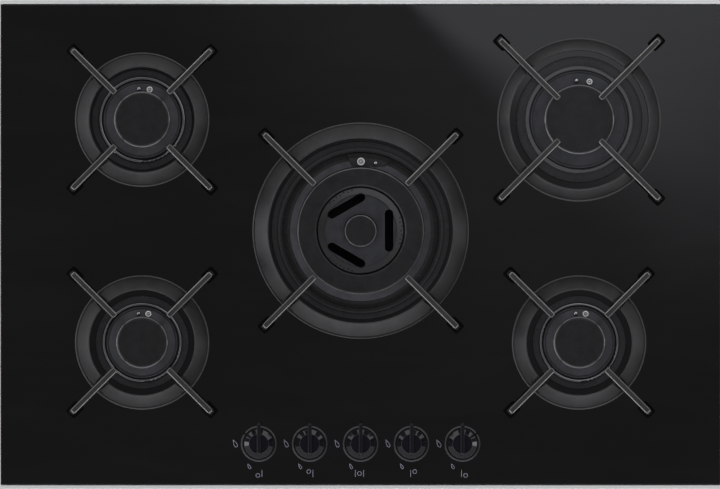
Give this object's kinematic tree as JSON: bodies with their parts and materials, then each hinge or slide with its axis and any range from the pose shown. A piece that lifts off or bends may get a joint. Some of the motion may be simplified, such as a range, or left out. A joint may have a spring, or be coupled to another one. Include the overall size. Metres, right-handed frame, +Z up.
{
  "type": "gas cooktop",
  "caption": "Built-in gas hob: black glass top, edge trims, ringed pan supports, lift-off burners and a row of push-and-turn knobs over a gas train.",
  "frame": {"origin": "centre of the outline on the underside of the casing", "axes": "+X to the right, +Y to the rear, +Z up from the worktop"},
  "size_m": [0.75, 0.51, 0.092],
  "materials": {
    "black_glass": "black tempered glass, gloss, opaque",
    "brushed_trim": "brushed along its length",
    "seal_foam": "closed-cell foam",
    "galvanised_sheet": "zinc-coated sheet, matt spangle",
    "plated_screw": "zinc plated",
    "base_enamel": "satin black enamel",
    "crown_aluminium": "dark anodised, bluish",
    "cap_enamel": "satin black enamel",
    "cast_aluminium": "as die-cast",
    "cast_iron": "matt black enamelled casting",
    "foot_rubber": "matt black",
    "white_ceramic": "glazed",
    "electrode_steel": "bright",
    "probe_metal": "copper lead and plated probe",
    "brass": "machined",
    "tap_alloy": "pressed alloy body",
    "manifold_steel": "plated tube",
    "tube_aluminium": "drawn tube",
    "spindle_steel": "turned",
    "switch_plastic": "moulded black",
    "lead_silicone": "red silicone",
    "knob_metal": "black chrome",
    "knob_gloss": "black gloss with a plated cone"
  },
  "bodies": {
    "root": {"glass_top": "black_glass", "edge_trims": "brushed_trim", "worktop_seal": "seal_foam", "casing_tray": "galvanised_sheet", "bridge_rails": "galvanised_sheet", "casing_screws": "plated_screw", "worktop_clamps": "galvanised_sheet", "clamp_screws": "plated_screw", "burner_bases": "base_enamel", "burner_cups": "cast_aluminium", "injectors": "brass", "burner_screws": "plated_screw", "spark_plugs": "white_ceramic", "spark_electrodes": "electrode_steel", "thermocouples": "probe_metal", "gas_taps": "tap_alloy", "tap_switches": "switch_plastic", "gas_manifold": "manifold_steel", "gas_inlet": "brass", "burner_tubes": "tube_aluminium", "ignition_unit": "switch_plastic", "ignition_leads": "lead_silicone", "cable_gland": "switch_plastic", "knob_bezels": "knob_metal"},
    "rear_left_support": {"rear_left_pan_support": "cast_iron", "rear_left_support_feet": "foot_rubber"},
    "rear_left_crown_body": {"rear_left_crown": "crown_aluminium"},
    "rear_left_cap_body": {"rear_left_cap": "cap_enamel"},
    "front_left_support": {"front_left_pan_support": "cast_iron", "front_left_support_feet": "foot_rubber"},
    "front_left_crown_body": {"front_left_crown": "crown_aluminium"},
    "front_left_cap_body": {"front_left_cap": "cap_enamel"},
    "front_right_support": {"front_right_pan_support": "cast_iron", "front_right_support_feet": "foot_rubber"},
    "front_right_crown_body": {"front_right_crown": "crown_aluminium"},
    "front_right_cap_body": {"front_right_cap": "cap_enamel"},
    "rear_right_support": {"rear_right_pan_support": "cast_iron", "rear_right_support_feet": "foot_rubber"},
    "rear_right_crown_body": {"rear_right_crown": "crown_aluminium"},
    "rear_right_cap_body": {"rear_right_cap": "cap_enamel"},
    "wok_support": {"wok_pan_support": "cast_iron", "wok_support_feet": "foot_rubber"},
    "wok_crown_body": {"wok_crown": "crown_aluminium"},
    "wok_ring_cap_body": {"wok_ring_cap": "cap_enamel"},
    "wok_centre_cap_body": {"wok_centre_cap": "cap_enamel"},
    "front_left_collar_body": {"front_left_push_collar": "switch_plastic"},
    "front_left_spindle_body": {"front_left_spindle": "spindle_steel"},
    "front_left_knob_body": {"front_left_knob": "knob_gloss"},
    "rear_left_collar_body": {"rear_left_push_collar": "switch_plastic"},
    "rear_left_spindle_body": {"rear_left_spindle": "spindle_steel"},
    "rear_left_knob_body": {"rear_left_knob": "knob_gloss"},
    "wok_collar_body": {"wok_push_collar": "switch_plastic"},
    "wok_spindle_body": {"wok_spindle": "spindle_steel"},
    "wok_knob_body": {"wok_knob": "knob_gloss"},
    "rear_right_collar_body": {"rear_right_push_collar": "switch_plastic"},
    "rear_right_spindle_body": {"rear_right_spindle": "spindle_steel"},
    "rear_right_knob_body": {"rear_right_knob": "knob_gloss"},
    "front_right_collar_body": {"front_right_push_collar": "switch_plastic"},
    "front_right_spindle_body": {"front_right_spindle": "spindle_steel"},
    "front_right_knob_body": {"front_right_knob": "knob_gloss"}
  },
  "joints": [
    {"name": "rear_left_support_lift", "type": "slide", "parent": "root", "child": "rear_left_support", "axis": [0, 0, 1], "range_m": [0, 0.08]},
    {"name": "rear_left_crown_lift", "type": "slide", "parent": "root", "child": "rear_left_crown_body", "axis": [0, 0, 1], "range_m": [0, 0.028]},
    {"name": "rear_left_cap_lift", "type": "slide", "parent": "rear_left_crown_body", "child": "rear_left_cap_body", "axis": [0, 0, 1], "range_m": [0, 0.03]},
    {"name": "front_left_support_lift", "type": "slide", "parent": "root", "child": "front_left_support", "axis": [0, 0, 1], "range_m": [0, 0.08]},
    {"name": "front_left_crown_lift", "type": "slide", "parent": "root", "child": "front_left_crown_body", "axis": [0, 0, 1], "range_m": [0, 0.028]},
    {"name": "front_left_cap_lift", "type": "slide", "parent": "front_left_crown_body", "child": "front_left_cap_body", "axis": [0, 0, 1], "range_m": [0, 0.03]},
    {"name": "front_right_support_lift", "type": "slide", "parent": "root", "child": "front_right_support", "axis": [0, 0, 1], "range_m": [0, 0.08]},
    {"name": "front_right_crown_lift", "type": "slide", "parent": "root", "child": "front_right_crown_body", "axis": [0, 0, 1], "range_m": [0, 0.028]},
    {"name": "front_right_cap_lift", "type": "slide", "parent": "front_right_crown_body", "child": "front_right_cap_body", "axis": [0, 0, 1], "range_m": [0, 0.03]},
    {"name": "rear_right_support_lift", "type": "slide", "parent": "root", "child": "rear_right_support", "axis": [0, 0, 1], "range_m": [0, 0.08]},
    {"name": "rear_right_crown_lift", "type": "slide", "parent": "root", "child": "rear_right_crown_body", "axis": [0, 0, 1], "range_m": [0, 0.028]},
    {"name": "rear_right_cap_lift", "type": "slide", "parent": "rear_right_crown_body", "child": "rear_right_cap_body", "axis": [0, 0, 1], "range_m": [0, 0.012]},
    {"name": "wok_support_lift", "type": "slide", "parent": "root", "child": "wok_support", "axis": [0, 0, 1], "range_m": [0, 0.08]},
    {"name": "wok_crown_lift", "type": "slide", "parent": "root", "child": "wok_crown_body", "axis": [0, 0, 1], "range_m": [0, 0.028]},
    {"name": "wok_ring_cap_lift", "type": "slide", "parent": "wok_crown_body", "child": "wok_ring_cap_body", "axis": [0, 0, 1], "range_m": [0, 0.03]},
    {"name": "wok_centre_cap_lift", "type": "slide", "parent": "wok_crown_body", "child": "wok_centre_cap_body", "axis": [0, 0, 1], "range_m": [0, 0.03]},
    {"name": "front_left_knob_push", "type": "slide", "parent": "root", "child": "front_left_collar_body", "axis": [0, 0, -1], "range_m": [0, 0.003], "stiffness_N_per_m": 1000, "springref_m": -0.003},
    {"name": "front_left_knob_turn", "type": "hinge", "parent": "front_left_collar_body", "child": "front_left_spindle_body", "pos_m": [-0.106, -0.2075, 0.054], "axis": [0, 0, 1], "range_deg": [0, 160]},
    {"name": "front_left_knob_pull", "type": "slide", "parent": "front_left_spindle_body", "child": "front_left_knob_body", "axis": [0, 0, 1], "range_m": [0, 0.02]},
    {"name": "rear_left_knob_push", "type": "slide", "parent": "root", "child": "rear_left_collar_body", "axis": [0, 0, -1], "range_m": [0, 0.003], "stiffness_N_per_m": 1000, "springref_m": -0.003},
    {"name": "rear_left_knob_turn", "type": "hinge", "parent": "rear_left_collar_body", "child": "rear_left_spindle_body", "pos_m": [-0.053, -0.2075, 0.054], "axis": [0, 0, 1], "range_deg": [0, 160]},
    {"name": "rear_left_knob_pull", "type": "slide", "parent": "rear_left_spindle_body", "child": "rear_left_knob_body", "axis": [0, 0, 1], "range_m": [0, 0.02]},
    {"name": "wok_knob_push", "type": "slide", "parent": "root", "child": "wok_collar_body", "axis": [0, 0, -1], "range_m": [0, 0.003], "stiffness_N_per_m": 1000, "springref_m": -0.003},
    {"name": "wok_knob_turn", "type": "hinge", "parent": "wok_collar_body", "child": "wok_spindle_body", "pos_m": [0, -0.2075, 0.054], "axis": [0, 0, 1], "range_deg": [0, 160]},
    {"name": "wok_knob_pull", "type": "slide", "parent": "wok_spindle_body", "child": "wok_knob_body", "axis": [0, 0, 1], "range_m": [0, 0.02]},
    {"name": "rear_right_knob_push", "type": "slide", "parent": "root", "child": "rear_right_collar_body", "axis": [0, 0, -1], "range_m": [0, 0.003], "stiffness_N_per_m": 1000, "springref_m": -0.003},
    {"name": "rear_right_knob_turn", "type": "hinge", "parent": "rear_right_collar_body", "child": "rear_right_spindle_body", "pos_m": [0.053, -0.2075, 0.054], "axis": [0, 0, 1], "range_deg": [0, 160]},
    {"name": "rear_right_knob_pull", "type": "slide", "parent": "rear_right_spindle_body", "child": "rear_right_knob_body", "axis": [0, 0, 1], "range_m": [0, 0.02]},
    {"name": "front_right_knob_push", "type": "slide", "parent": "root", "child": "front_right_collar_body", "axis": [0, 0, -1], "range_m": [0, 0.003], "stiffness_N_per_m": 1000, "springref_m": -0.003},
    {"name": "front_right_knob_turn", "type": "hinge", "parent": "front_right_collar_body", "child": "front_right_spindle_body", "pos_m": [0.106, -0.2075, 0.054], "axis": [0, 0, 1], "range_deg": [0, 160]},
    {"name": "front_right_knob_pull", "type": "slide", "parent": "front_right_spindle_body", "child": "front_right_knob_body", "axis": [0, 0, 1], "range_m": [0, 0.02]}
  ],
  "couplings": [
    {"joint": "rear_left_crown_lift", "follows": "rear_left_support_lift", "ratio": 0.35},
    {"joint": "front_left_crown_lift", "follows": "front_left_support_lift", "ratio": 0.35},
    {"joint": "front_right_crown_lift", "follows": "front_right_support_lift", "ratio": 0.35},
    {"joint": "rear_right_crown_lift", "follows": "rear_right_support_lift", "ratio": 0.35},
    {"joint": "rear_right_cap_lift", "follows": "rear_right_support_lift", "ratio": 0.15},
    {"joint": "wok_crown_lift", "follows": "wok_support_lift", "ratio": 0.35}
  ]
}
